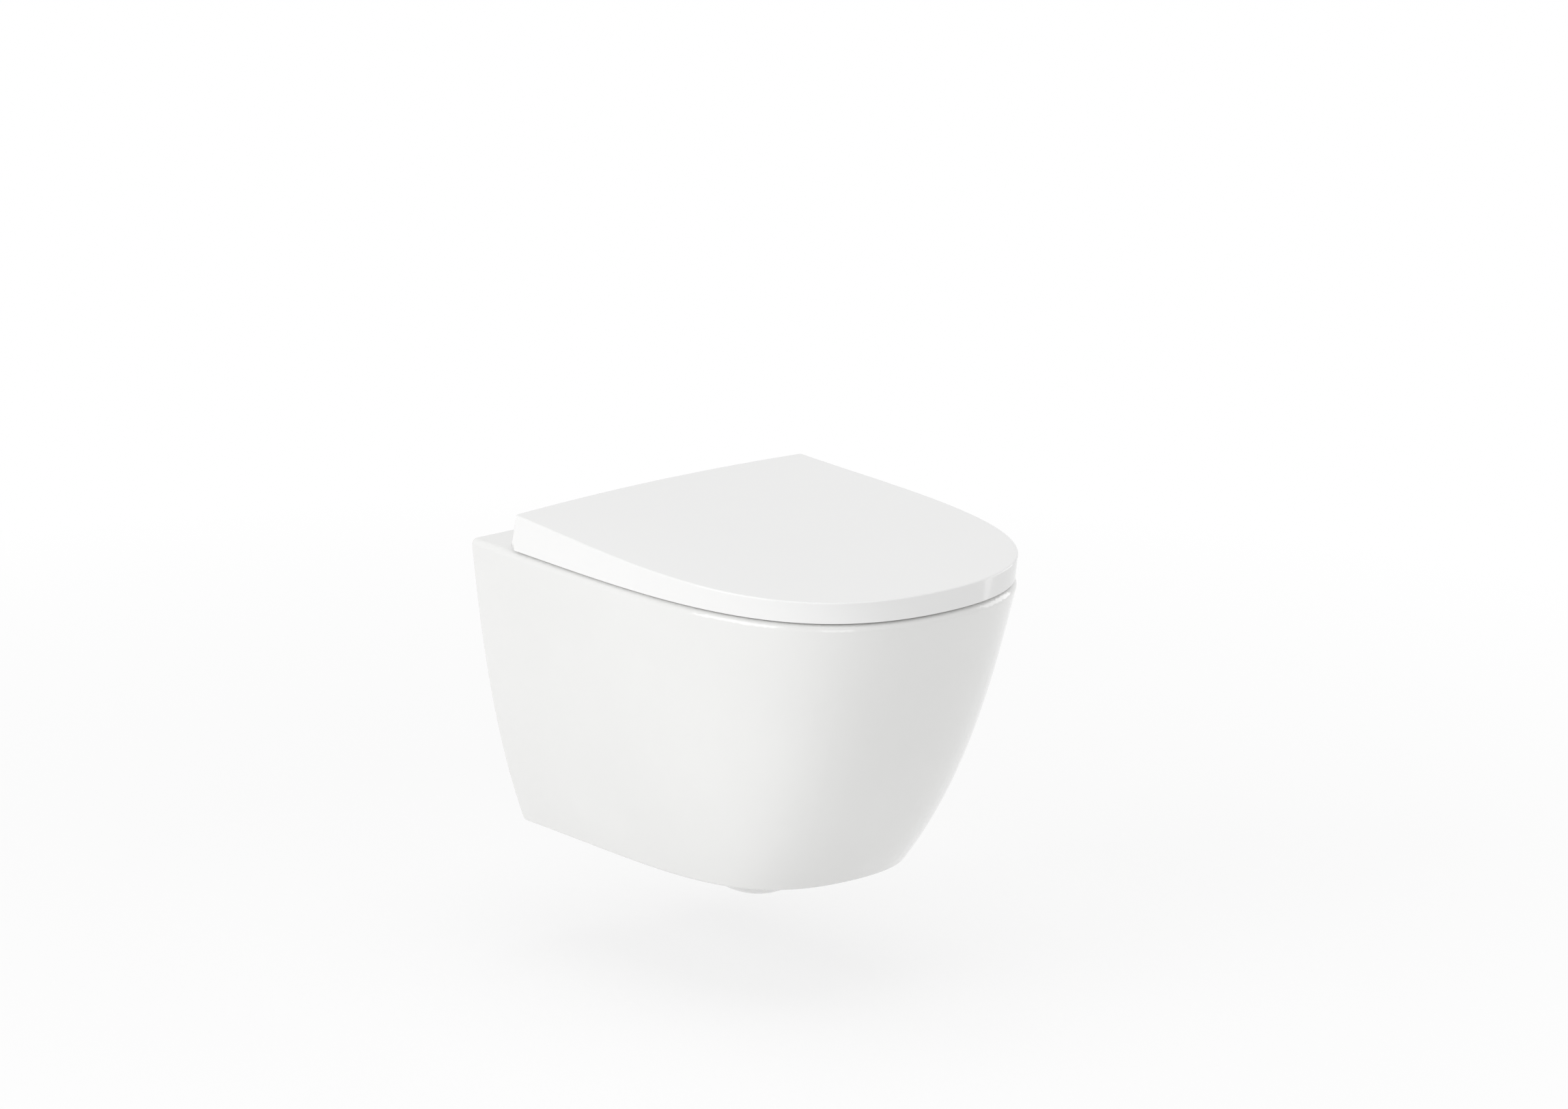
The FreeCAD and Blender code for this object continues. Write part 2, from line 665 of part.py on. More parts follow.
def make_seat_ring():
    low = deck + size("seat_gap")
    ring = seat_block(0, 0, 0)

    def upper_edge(edge):
        box = edge.BoundBox
        return box.ZMin > low + 5 and box.YLength > 20

    ring = ring.makeFillet(size("seat_edge"), edges_of(ring, upper_edge))
    channel = seat_block(size("seat_wall"), size("seat_skin"), size("seat_wall"), 2)
    ring = ring.cut(channel)
    for x, y in seat_buffer_spots():
        boss = z_rod(size("seat_buffer_width") / 2 + 1, x, y, low, seat_top(y) - 2)
        stem = z_rod(size("stem_width") / 2, x, y, low - 1, low + 6)
        ring = ring.fuse(boss).cut(stem)
    for side, _ in SIDES:
        x_low, x_high = lug_span(side, "seat")
        arm = brick(x_low, x_high, -size("seat_setback") - 5, axis_y, axis_z - 6.5, axis_z + 4)
        knuckle = x_rod(size("knuckle_width") / 2, x_low, x_high, axis_y, axis_z)
        ring = ring.fuse([arm, knuckle]).cut(bush_pocket(side, "seat"))
    return ring.removeSplitter()


seat_ring = formed("seat_ring", make_seat_ring())


def buffers(spots, radius, low, high, stem_low, stem_high):
    stem = size("stem_width") / 2 - size("running_gap")
    return [
        z_rod(radius, x, y, low, high).fuse(z_rod(stem, x, y, stem_low, stem_high)) for x, y in spots
    ]


seat_low = deck + size("seat_gap")
seat_pads = buffers(
    seat_buffer_spots(),
    size("seat_buffer_width") / 2,
    deck + size("close_gap"),
    seat_low,
    seat_low,
    seat_low + 5.5,
)
seat_buffers = formed("seat_buffers", Part.makeCompound(seat_pads))


def make_lid_buffers():
    """Pads trimmed to the underside of the lid, with stems in its blind holes."""
    inside = lid_block(size("lid_wall"), size("lid_wall"), 5)
    radius = size("lid_buffer_width") / 2
    stem = size("stem_width") / 2 - size("running_gap")
    pads = []
    for x, y in lid_buffer_spots():
        low = seat_top(y) + size("close_gap")
        pad = z_rod(radius, x, y, low, deck + 40).common(inside)
        stem_top = deck + size("lid_front_rise") - 1.8
        pads.append(pad.fuse(z_rod(stem, x, y, low + 1, stem_top)))
    return Part.makeCompound(pads)


lid_buffers = formed("lid_buffers", make_lid_buffers())

# ---------------------------------------------------------------- hinge hardware, both sides

AXIS_Y = "-axis_setback"
AXIS_Z = "rim_height + axis_height"
PILLAR_Y = "-(axis_setback + pillar_ahead)"
BASE_Z = "rim_height + gasket_thickness"
POST_Z = "rim_height + gasket_thickness + base_thickness"
LATCH_Z = "rim_height + axis_height - latch_drop"


def side_x(side, offset="0"):
    return f"{side} * (hinge_spacing / 2 + ({offset}))"


def pillar_base(side, tag):
    """Round plate under a pillar, clamped between it and the gasket by the bolt."""
    x = side_x(side)
    disc = rod(f"base_disc_{tag}", "base_width", "base_thickness", x, PILLAR_Y, BASE_Z)
    hole_width = "bolt_width + 2 * running_gap"
    hole = rod(f"base_hole_{tag}", hole_width, "base_thickness", x, PILLAR_Y, BASE_Z)
    return cut(f"pillar_base_{tag}", disc, hole)


def pillar(side, tag):
    x = side_x(side)
    height = "axis_height - gasket_thickness - base_thickness - pillar_top_gap - 1"
    post = rod(f"pillar_post_{tag}", "pillar_width", height, x, PILLAR_Y, POST_Z)
    tip_z = "rim_height + axis_height - pillar_top_gap - 1"
    tip = cone(f"pillar_tip_{tag}", "pillar_width", "pillar_width - 2", "1", x, PILLAR_Y, tip_z)
    bore_width, bore_depth = "bolt_width + 2 * running_gap", "bolt_grip - base_thickness"
    bore = rod(f"pillar_bore_{tag}", bore_width, bore_depth, x, PILLAR_Y, POST_Z)
    groove_z = f"{LATCH_Z} - latch_thickness / 2 - close_gap"
    high = "latch_thickness + 2 * close_gap"
    ring = rod(f"groove_ring_{tag}", "pillar_width + 2", high, x, PILLAR_Y, groove_z)
    core = rod(f"groove_core_{tag}", "pillar_width - 1", high, x, PILLAR_Y, groove_z)
    groove = cut(f"groove_{tag}", ring, core)
    return cut(f"pillar_{tag}", fuse(f"pillar_solid_{tag}", post, tip), bore, groove)


def deck_fixings(side, tag):
    """Gasket, bolt, expanding sleeve and cone nut of one hinge hole."""
    x = side_x(side)
    disc = rod(f"disc_{tag}", "base_width", "gasket_thickness", x, PILLAR_Y, "rim_height")
    disc_hole = rod(f"disc_hole_{tag}", "bolt_width + 1", "gasket_thickness", x, PILLAR_Y, "rim_height")
    gasket = cut(f"gasket_{tag}", disc, disc_hole)
    bolt_z = "rim_height - bolt_reach"
    bolt_length = "bolt_reach + gasket_thickness + bolt_grip - 0.5"
    bolt = rod(f"bolt_{tag}", "bolt_width", bolt_length, x, PILLAR_Y, bolt_z)
    neck_z = "rim_height - deck_thickness - close_gap"
    neck_length = "deck_thickness + close_gap"
    neck = rod(f"neck_{tag}", "hinge_hole - 2 * running_gap", neck_length, x, PILLAR_Y, neck_z)
    low_z = "rim_height - deck_thickness - close_gap - sleeve_length"
    bulge = rod(f"bulge_{tag}", "sleeve_bulge", "sleeve_length - 4", x, PILLAR_Y, f"{low_z} + 2")
    shoulder = cone(
        f"shoulder_{tag}", "sleeve_bulge", "sleeve_bulge - 4", "2", x, PILLAR_Y, f"{neck_z} - 2"
    )
    hem = cone(f"hem_{tag}", "sleeve_bulge - 4", "sleeve_bulge", "2", x, PILLAR_Y, low_z)
    all_length = "deck_thickness + close_gap + sleeve_length"
    sleeve_bore = rod(
        f"sleeve_bore_{tag}", "bolt_width + 2 * running_gap", all_length, x, PILLAR_Y, low_z
    )
    rubber = fuse(f"rubber_{tag}", neck, bulge, shoulder, hem)
    sleeve = cut(f"sleeve_{tag}", rubber, sleeve_bore)
    nut_z = f"{low_z} - cone_height"
    body = cone(
        f"nut_body_{tag}", "sleeve_bulge - 7", "sleeve_bulge - 4", "cone_height", x, PILLAR_Y, nut_z
    )
    thread = rod(
        f"nut_thread_{tag}", "bolt_width + 2 * running_gap", "cone_height", x, PILLAR_Y, nut_z
    )
    return gasket, bolt, sleeve, cut(f"cone_nut_{tag}", body, thread)


def line(x1, y1, x2, y2):
    return Part.LineSegment(point(x1, y1, 0), point(x2, y2, 0))


def origin_plane(body, role):
    return next(item for item in body.Origin.OriginFeatures if item.Role == role)


def block_body(side, tag):
    """Side profile of a hinge block: flat front and back, rounded over the axis."""
    body = doc.addObject("PartDesign::Body", f"block_body_{tag}")
    sketch = body.newObject("Sketcher::SketchObject", f"block_profile_{tag}")
    sketch.AttachmentSupport = [(origin_plane(body, "YZ_Plane"), "")]
    sketch.MapMode = "FlatFace"
    round_off = size("knuckle_width") / 2
    low = size("axis_height") - size("gasket_thickness") - size("base_thickness")
    front, shoulder = size("block_ahead"), size("block_shoulder")
    lean = math.radians(115)
    sketch.addGeometry(line(-front, -low, round_off, -low))
    sketch.addGeometry(line(round_off, -low, round_off, 0))
    circle = Part.Circle(point(0, 0, 0), point(0, 0, 1), round_off)
    sketch.addGeometry(Part.ArcOfCircle(circle, 0, lean))
    crest = (round_off * math.cos(lean), round_off * math.sin(lean))
    sketch.addGeometry(line(*crest, -front, -shoulder))
    sketch.addGeometry(line(-front, -shoulder, -front, -low))
    rules = (
        ("Coincident", 0, 2, 1, 1),
        ("Tangent", 1, 2, 2, 1),
        ("Tangent", 2, 2, 3, 1),
        ("Coincident", 3, 2, 4, 1),
        ("Coincident", 4, 2, 0, 1),
        ("Coincident", 2, 3, -1, 1),
        ("Horizontal", 0),
        ("Vertical", 1),
        ("Vertical", 4),
    )
    for rule in rules:
        sketch.addConstraint(Sketcher.Constraint(*rule))
    driven = (
        (("Radius", 2, round_off), "knuckle_width / 2"),
        (("DistanceX", 4, 1, -1, 1, front), "block_ahead"),
        (("DistanceY", 4, 1, -1, 1, shoulder), "block_shoulder"),
        (
            ("DistanceY", 0, 1, -1, 1, low),
            "axis_height - gasket_thickness - base_thickness - close_gap",
        ),
    )
    for rule, formula in driven:
        index = sketch.addConstraint(Sketcher.Constraint(*rule))
        sketch.setExpression(f"Constraints[{index}]", bound(formula))
    pad = body.newObject("PartDesign::Pad", f"block_pad_{tag}")
    pad.Profile = sketch
    pad.setExpression("Length", bound("block_width"))
    place(body, f"{side_x(side)} - block_width / 2", AXIS_Y, AXIS_Z)
    return body


def hinge_block(side, tag):
    x = side_x(side)
    body = block_body(side, tag)
    slide = "latch_thickness + 2 * close_gap * 0.7"
    pin_hole = rod(
        f"pin_hole_{tag}",
        "pin_width + running_gap",
        "block_width + 2",
        f"{x} - block_width / 2 - 1",
        AXIS_Y,
        AXIS_Z,
        "X",
    )
    deep = "axis_height - pillar_top_gap + close_gap"
    post_hole = rod(f"post_hole_{tag}", "pillar_width + 4 * running_gap", deep, x, PILLAR_Y, "rim_height")
    slot_front = f"{AXIS_Y} - block_ahead - 1"
    slot_length = "block_ahead + 1 - pillar_ahead + pillar_width / 2 + latch_bar + button_travel + 0.5"
    slot = bar(
        f"latch_slot_{tag}",
        "latch_width + 0.4",
        slot_length,
        slide,
        f"{x} - latch_width / 2 - 0.2",
        slot_front,
        f"{LATCH_Z} - ({slide}) / 2",
    )
    window = bar(
        f"cap_window_{tag}",
        "button_width + 0.5",
        "button_travel + 2",
        "button_height + 0.5",
        f"{x} - button_width / 2 - 0.25",
        slot_front,
        f"{LATCH_Z} - button_height / 2 - 0.25",
    )
    pocket_length = "pillar_ahead - pillar_width / 2 + knuckle_width / 2 - latch_bar - 1.2"
    pocket = rod(
        f"spring_pocket_{tag}",
        "spring_width + 0.6",
        pocket_length,
        x,
        f"{PILLAR_Y} + pillar_width / 2 + latch_bar",
        LATCH_Z,
        "Y",
    )
    grub_hole = rod(
        f"grub_hole_{tag}", "3 + running_gap", "knuckle_width", x, AXIS_Y, AXIS_Z, "Y"
    )
    return cut(f"hinge_block_{tag}", body, pin_hole, post_hole, slot, window, pocket, grub_hole)


def release_button(side, tag):
    """Cap and latch plate in one: the bar behind the pillar holds the block down."""
    x = side_x(side)
    hole_front = f"{PILLAR_Y} - pillar_width / 2 - button_travel - press_gap"
    plate_front = f"{AXIS_Y} - block_ahead + 0.6"
    plate = bar(
        f"plate_{tag}",
        "latch_width",
        "block_ahead - 0.6 - pillar_ahead + pillar_width / 2 + latch_gap + latch_bar",
        "latch_thickness",
        f"{x} - latch_width / 2",
        plate_front,
        f"{LATCH_Z} - latch_thickness / 2",
    )
    eye = bar(
        f"eye_{tag}",
        "pillar_width + 0.6",
        "pillar_width + button_travel + latch_gap + press_gap",
        "latch_thickness + 2",
        f"{x} - pillar_width / 2 - 0.3",
        hole_front,
        f"{LATCH_Z} - latch_thickness / 2 - 1",
    )
    cap = bar(
        f"cap_{tag}",
        "button_width",
        "button_proud + 0.6",
        "button_height",
        f"{x} - button_width / 2",
        f"{AXIS_Y} - block_ahead - button_proud",
        f"{LATCH_Z} - button_height / 2",
    )
    return cut(f"release_button_{tag}", fuse(f"button_solid_{tag}", plate, cap), eye)


def release_spring(side):
    """Small coil between the latch plate and the block's rear wall."""
    wire = size("spring_wire") / 2
    radius = size("spring_width") / 2 - wire
    bar_back = pillar_y + size("pillar_width") / 2 + size("latch_gap") + size("latch_bar")
    start_y = bar_back + wire + 0.1
    pocket_length = size("pillar_ahead") - size("pillar_width") / 2 + size("knuckle_width") / 2
    end_y = pillar_y + size("pillar_width") / 2 + pocket_length - 1.2 - wire - 0.1
    length = end_y - start_y
    helix = Part.makeHelix(length / 4, length, radius)
    circle = Part.makeCircle(wire, point(radius, 0, 0), point(0, 1, 0))
    coil = Part.Wire(helix.Edges).makePipeShell([Part.Wire([circle])], True, True)
    coil.rotate(point(0, 0, 0), point(1, 0, 0), -90)
    coil.translate(point(side * hinge_x, start_y, axis_z - size("latch_drop")))
    return coil


def bush(name, side, place_name, length="lug_width - 1.6", bore="pin_width + 2 * running_gap"):
    """Tube in a lug, from the lug's open end inwards."""
    near = "block_width / 2 + lug_gap"
    start = f"-({near} + {length})" if place_name == "seat" else near
    low = f"hinge_spacing / 2 + ({start})"
    x = low if side > 0 else f"-({low}) - ({length})"
    outer = rod(f"{name}_outer", "bush_width - running_gap", length, x, AXIS_Y, AXIS_Z, "X")
    inner = rod(f"{name}_inner", bore, length, x, AXIS_Y, AXIS_Z, "X")
    return cut(name, outer, inner)


def damper(name, side, place_name):
    """Housing turning with its lug, and the rotor that it brakes, keyed to the pin."""
    housing = bush(name, side, place_name, bore="rotor_width + 2 * running_gap")
    near = "block_width / 2 + lug_gap"
    length = "lug_width - 3.2"
    start = f"-({near} + {length} + 0.8)" if place_name == "seat" else f"{near} + 0.8"
    low = f"hinge_spacing / 2 + ({start})"
    x = low if side > 0 else f"-({low}) - ({length})"
    outer = rod(f"{name}_rotor_outer", "rotor_width", length, x, AXIS_Y, AXIS_Z, "X")
    inner = rod(f"{name}_rotor_inner", "pin_width + running_gap", length, x, AXIS_Y, AXIS_Z, "X")
    return housing, cut(f"{name}_rotor", outer, inner)


def hinge_pin(side, tag):
    half = "(block_width / 2 + lug_gap + lug_width - 1.8)"
    x = f"{side_x(side)} - {half}"
    return rod(f"hinge_pin_{tag}", "pin_width", f"2 * {half}", x, AXIS_Y, AXIS_Z, "X")


def grub_screw(side, tag):
    start = f"{AXIS_Y} + pin_width / 2 + running_gap"
    length = "knuckle_width / 2 - pin_width / 2 - 0.6"
    return rod(f"grub_{tag}", "3", length, side_x(side), start, AXIS_Z, "Y")


nodes = {"pan": pan, "lid": lid, "seat_ring": seat_ring}
nodes["seat_buffers"] = seat_buffers
nodes["lid_buffers"] = lid_buffers

pillars, bases, gaskets, bolts, sleeves, cone_nuts, grubs = [], [], [], [], [], [], []
for side, tag in SIDES:
    pillars.append(pillar(side, tag))
    bases.append(pillar_base(side, tag))
    gasket, bolt, sleeve, cone_nut = deck_fixings(side, tag)
    gaskets.append(gasket)
    bolts.append(bolt)
    sleeves.append(sleeve)
    cone_nuts.append(cone_nut)
    grubs.append(grub_screw(side, tag))
    nodes[f"hinge_block_{tag}"] = hinge_block(side, tag)
    nodes[f"hinge_pin_{tag}"] = hinge_pin(side, tag)
    nodes[f"release_button_{tag}"] = release_button(side, tag)
    nodes[f"release_spring_{tag}"] = formed(f"release_spring_{tag}", release_spring(side))

nodes["hinge_pillars"] = group("hinge_pillars", *pillars)
nodes["pillar_bases"] = group("pillar_bases", *bases)
nodes["hinge_gaskets"] = group("hinge_gaskets", *gaskets)
nodes["hinge_bolts"] = group("hinge_bolts", *bolts)
nodes["expansion_sleeves"] = group("expansion_sleeves", *sleeves)
nodes["cone_nuts"] = group("cone_nuts", *cone_nuts)
nodes["pin_grub_screws"] = group("pin_grub_screws", *grubs)

nodes["seat_bush"] = bush("seat_bush", -1, "seat")
nodes["lid_bush"] = bush("lid_bush", 1, "lid")
nodes["seat_damper"], seat_rotor = damper("seat_damper", 1, "seat")
nodes["lid_damper"], lid_rotor = damper("lid_damper", -1, "lid")
nodes["damper_rotors"] = group("damper_rotors", seat_rotor, lid_rotor)

# ---------------------------------------------------------------- wall fixing kit and inlet seal


def fixing_kit(side, tag):
    """Flanged plastic sleeve through the wall plate, washer and nut on the wall stud."""
    x = f"{side} * fixing_spacing / 2"
    front = "boss_depth + flange_thickness"
    shank = rod(f"shank_{tag}", "fixing_bore + 2 * sleeve_wall", "boss_depth", x, "-boss_depth", "0", "Y")
    flange = rod(f"flange_{tag}", "flange_width", "flange_thickness", x, f"-({front})", "0", "Y")
    stud_way = rod(f"stud_way_{tag}", "fixing_bore", front, x, f"-({front})", "0", "Y")
    sleeve = cut(f"fixing_sleeve_{tag}", fuse(f"sleeve_solid_{tag}", shank, flange), stud_way)
    washer_y = f"-({front} + washer_thickness)"
    disc = rod(f"washer_disc_{tag}", "washer_width", "washer_thickness", x, washer_y, "0", "Y")
    hole = rod(f"washer_hole_{tag}", "fixing_bore + 0.8", "washer_thickness", x, washer_y, "0", "Y")
    washer = cut(f"fixing_washer_{tag}", disc, hole)
    nut_y = f"-({front} + washer_thickness + nut_thickness)"
    prism = doc.addObject("Part::Prism", f"nut_prism_{tag}")
    prism.Polygon = 6
    prism.setExpression("Circumradius", bound("nut_width / sqrt(3)"))
    prism.setExpression("Height", bound("nut_thickness"))
    place(prism, x, nut_y, "0", "Y")
    thread = rod(f"thread_{tag}", "nut_thread", "nut_thickness", x, nut_y, "0", "Y")
    return sleeve, washer, cut(f"fixing_nut_{tag}", prism, thread)


def inlet_seal():
    """Rubber ring in the flush socket, with two lips on the pipe."""
    inlet_z = "inlet_rise"
    start = "-(4 + seal_length)"
    outer = rod("seal_outer", "inlet_socket - 2 * running_gap", "seal_length", "0", start, inlet_z, "Y")
    way = rod("seal_way", "flush_pipe + 2 * running_gap", "seal_length", "0", start, inlet_z, "Y")
    relief_y = "-(4 + seal_length) + seal_length * 0.25"
    relief = rod("seal_relief", "flush_pipe + 5", "seal_length * 0.5", "0", relief_y, inlet_z, "Y")
    return cut("inlet_seal", outer, way, relief)


kits = [fixing_kit(side, tag) for side, tag in SIDES]
for name, pieces in zip(("fixing_sleeves", "fixing_washers", "fixing_nuts"), zip(*kits)):
    nodes[name] = group(name, *pieces)
nodes["inlet_seal"] = inlet_seal()

# ---------------------------------------------------------------- checks and files

doc.recompute()
for item in doc.Objects:
    if "Invalid" in item.State or "Error" in item.State:
        raise RuntimeError(f"{item.Name} failed: {item.State}")

os.makedirs("parts", exist_ok=True)
for name, item in nodes.items():
    item.Label = name
    shape = item.Shape
    if shape.isNull() or not shape.isValid() or not shape.Solids:
        raise RuntimeError(f"{name} has no valid solid")
    print(f"{name}: {len(shape.Solids)} solid(s), {shape.Volume / 1000:.2f} cm3")
for name, item in nodes.items():
    item.Shape.exportStep(f"parts/{name}.step")
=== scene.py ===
import json
import math

import bpy
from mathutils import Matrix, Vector

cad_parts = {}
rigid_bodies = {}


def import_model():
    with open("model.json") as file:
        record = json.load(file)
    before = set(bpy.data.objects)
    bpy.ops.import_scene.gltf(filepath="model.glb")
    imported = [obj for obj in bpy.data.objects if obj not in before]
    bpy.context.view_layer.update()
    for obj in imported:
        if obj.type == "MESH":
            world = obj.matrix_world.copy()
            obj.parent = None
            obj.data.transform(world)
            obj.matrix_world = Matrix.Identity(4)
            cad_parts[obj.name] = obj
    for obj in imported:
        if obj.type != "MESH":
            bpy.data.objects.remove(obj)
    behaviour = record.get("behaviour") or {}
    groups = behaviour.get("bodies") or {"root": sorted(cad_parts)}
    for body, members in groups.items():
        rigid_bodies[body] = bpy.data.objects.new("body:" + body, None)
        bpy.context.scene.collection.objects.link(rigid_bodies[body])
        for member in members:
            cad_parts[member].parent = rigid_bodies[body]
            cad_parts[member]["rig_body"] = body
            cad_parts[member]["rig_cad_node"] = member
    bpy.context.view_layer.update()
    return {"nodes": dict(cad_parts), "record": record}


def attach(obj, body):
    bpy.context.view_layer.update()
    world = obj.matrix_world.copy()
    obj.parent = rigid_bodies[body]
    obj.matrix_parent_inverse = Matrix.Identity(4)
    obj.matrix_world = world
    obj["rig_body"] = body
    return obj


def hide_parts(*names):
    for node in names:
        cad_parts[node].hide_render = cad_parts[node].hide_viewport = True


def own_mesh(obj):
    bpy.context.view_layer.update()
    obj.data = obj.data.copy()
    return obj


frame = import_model()
nodes = frame["nodes"]
print("frame loaded:", len(nodes), "nodes")


# small helpers

def deselectAll():
    if bpy.context.object and bpy.context.object.mode != "OBJECT":
        bpy.ops.object.mode_set(mode="OBJECT")
    bpy.ops.object.select_all(action="DESELECT")


def pickOnly(piece):
    deselectAll()
    piece.select_set(True)
    bpy.context.view_layer.objects.active = piece


# materials: every pattern reads Object coordinates

patterns = {
    "ior": 1.5, "coatRoughness": 0.03, "toneDetail": 3, "grainDetail": 4,
    "toneRamp": (0.3, 0.7),  # where the tone's noise turns from shade to colour
}
finishes = {
    "glazed_white": {
        "colour": (0.82, 0.82, 0.81), "shade": (0.8, 0.8, 0.79), "roughness": (0.05, 0.1),
        "toneScale": 7, "grainScale": 28, "bump": 0.06, "bumpDepth": 0.0006, "coat": 0.5,
    },
    "seat_plastic": {
        "colour": (0.87, 0.87, 0.865), "shade": (0.86, 0.86, 0.855), "roughness": (0.09, 0.14),
        "toneScale": 5, "grainScale": 60, "bump": 0.03, "bumpDepth": 0.0003,
    },
    "grey_rubber": {
        "colour": (0.52, 0.52, 0.52), "shade": (0.46, 0.46, 0.46), "roughness": (0.6, 0.8),
        "toneScale": 60, "grainScale": 900, "bump": 0.2, "bumpDepth": 0.0001,
    },
    "black_rubber": {
        "colour": (0.04, 0.04, 0.04), "shade": (0.025, 0.025, 0.025), "roughness": (0.55, 0.75),
        "toneScale": 60, "grainScale": 900, "bump": 0.2, "bumpDepth": 0.0001,
    },
    "hinge_chrome": {
        "colour": (0.78, 0.78, 0.79), "shade": (0.75, 0.75, 0.76), "roughness": (0.04, 0.1),
        "toneScale": 40, "grainScale": 500, "bump": 0.02, "bumpDepth": 0.0001, "metal": 1,
    },
    "steel": {
        "colour": (0.64, 0.64, 0.65), "shade": (0.55, 0.55, 0.57), "roughness": (0.22, 0.4),
        "toneScale": 50, "grainScale": 300, "bump": 0.1, "bumpDepth": 0.0001, "metal": 1,
        "stretch": (1, 1, 14),
    },
    "white_nylon": {
        "colour": (0.8, 0.8, 0.78), "shade": (0.75, 0.75, 0.73), "roughness": (0.35, 0.5),
        "toneScale": 40, "grainScale": 700, "bump": 0.1, "bumpDepth": 0.0001,
    },
}


def startMaterial(name, look):
    material = bpy.data.materials.new(name)
    material.use_nodes = True
    tree = material.node_tree
    shader = tree.nodes["Principled BSDF"]
    shader.inputs["Metallic"].default_value = look.get("metal", 0)
    shader.inputs["IOR"].default_value = patterns["ior"]
    shader.inputs["Coat Weight"].default_value = look.get("coat", 0)
    shader.inputs["Coat Roughness"].default_value = patterns["coatRoughness"]
    coords = tree.nodes.new("ShaderNodeTexCoord")
    mapping = tree.nodes.new("ShaderNodeMapping")
    mapping.inputs["Scale"].default_value = look.get("stretch", (1, 1, 1))
    tree.links.new(coords.outputs["Object"], mapping.inputs["Vector"])
    return material, tree, shader, mapping


def addNoise(tree, mapping, scale, detail):
    noise = tree.nodes.new("ShaderNodeTexNoise")
    noise.inputs["Scale"].default_value = scale
    noise.inputs["Detail"].default_value = detail
    tree.links.new(mapping.outputs["Vector"], noise.inputs["Vector"])
    return noise


def makeFinish(name, look):
    material, tree, shader, mapping = startMaterial(name, look)
    tone = addNoise(tree, mapping, look["toneScale"], patterns["toneDetail"])
    ramp = tree.nodes.new("ShaderNodeValToRGB")
    stops = ramp.color_ramp.elements
    for stop, place, key in zip(stops, patterns["toneRamp"], ("shade", "colour")):
        stop.position = place
        stop.color = (*look[key], 1)
    tree.links.new(tone.outputs["Fac"], ramp.inputs["Fac"])
    tree.links.new(ramp.outputs["Color"], shader.inputs["Base Color"])
    grain = addNoise(tree, mapping, look["grainScale"], patterns["grainDetail"])
    spread = tree.nodes.new("ShaderNodeMapRange")
    spread.inputs["To Min"].default_value = look["roughness"][0]
    spread.inputs["To Max"].default_value = look["roughness"][1]
    tree.links.new(grain.outputs["Fac"], spread.inputs["Value"])
    tree.links.new(spread.outputs["Result"], shader.inputs["Roughness"])
    bump = tree.nodes.new("ShaderNodeBump")
    bump.inputs["Strength"].default_value = look["bump"]
    bump.inputs["Distance"].default_value = look["bumpDepth"]
    tree.links.new(grain.outputs["Fac"], bump.inputs["Height"])
    tree.links.new(bump.outputs["Normal"], shader.inputs["Normal"])
    return material


materials = {slot: makeFinish(slot, look) for slot, look in finishes.items()}
slotOf = {part["node"]: part["material_slot"] for part in frame["record"]["subparts"]}


def paint(piece, slot):
    piece.data.materials.clear()
    piece.data.materials.append(materials[slot])


for nodeName, node in nodes.items():
    paint(node, slotOf[nodeName])
print("materials on", len(nodes), "nodes")


# the glazed, moulded and chromed surfaces: merged copies of their nodes, shaded smooth by angle,
# with a hard edge round each flat

surfaces = {
    "pan": {
        "piece": "glazedPan", "body": "pan", "weld": 0.00002, "crease": 32,
        "flats": [(0, 1, 0), (0, 0, 1), (0, 0, -1)],  # the back, the deck and the foot
    },
    "lid": {
        "piece": "closedLid", "body": "lid", "weld": 0.00002, "crease": 32,
        "flats": [(0, 0, -1)],  # its ceiling and its lower edge
    },
    "seat_ring": {
        "piece": "seatRing", "body": "seat", "weld": 0.00002, "crease": 32,
        "flats": [(0, 0, -1)],  # its underside
    },
    "hinge_block_left": {
        "piece": "leftBlock", "body": "hinge_carrier", "weld": 0.00001, "crease": 30, "flats": [],
    },
    "hinge_block_right": {
        "piece": "rightBlock", "body": "hinge_carrier", "weld": 0.00001, "crease": 30, "flats": [],
    },
}
smoothing = {
    "flatWithin": 0.99999,  # a face this close to a flat's direction lies in it
    "faceWeight": 90,  # how far large faces rule the normals beside them
}


def edgeFlats(piece, directions):
    for direction in directions:
        pickOnly(piece)
        bpy.ops.object.mode_set(mode="EDIT")
        bpy.ops.mesh.select_mode(type="FACE")
        bpy.ops.mesh.select_all(action="DESELECT")
        bpy.ops.object.mode_set(mode="OBJECT")
        for face in piece.data.polygons:
            face.select = face.normal.dot(Vector(direction)) > smoothing["flatWithin"]
        bpy.ops.object.mode_set(mode="EDIT")
        bpy.ops.mesh.region_to_loop()
        bpy.ops.mesh.mark_sharp()
        bpy.ops.mesh.select_mode(type="FACE")
        bpy.ops.object.mode_set(mode="OBJECT")


def copyNode(nodeName, pieceName):
    pickOnly(nodes[nodeName])
    bpy.ops.object.duplicate()
    piece = bpy.context.object
    piece.name = pieceName
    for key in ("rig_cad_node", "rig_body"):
        if key in piece:
            del piece[key]
    piece.parent = None
    return piece


def takeOver(piece, nodeName, bodyName):
    paint(piece, slotOf[nodeName])
    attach(piece, bodyName)
    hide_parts(nodeName)


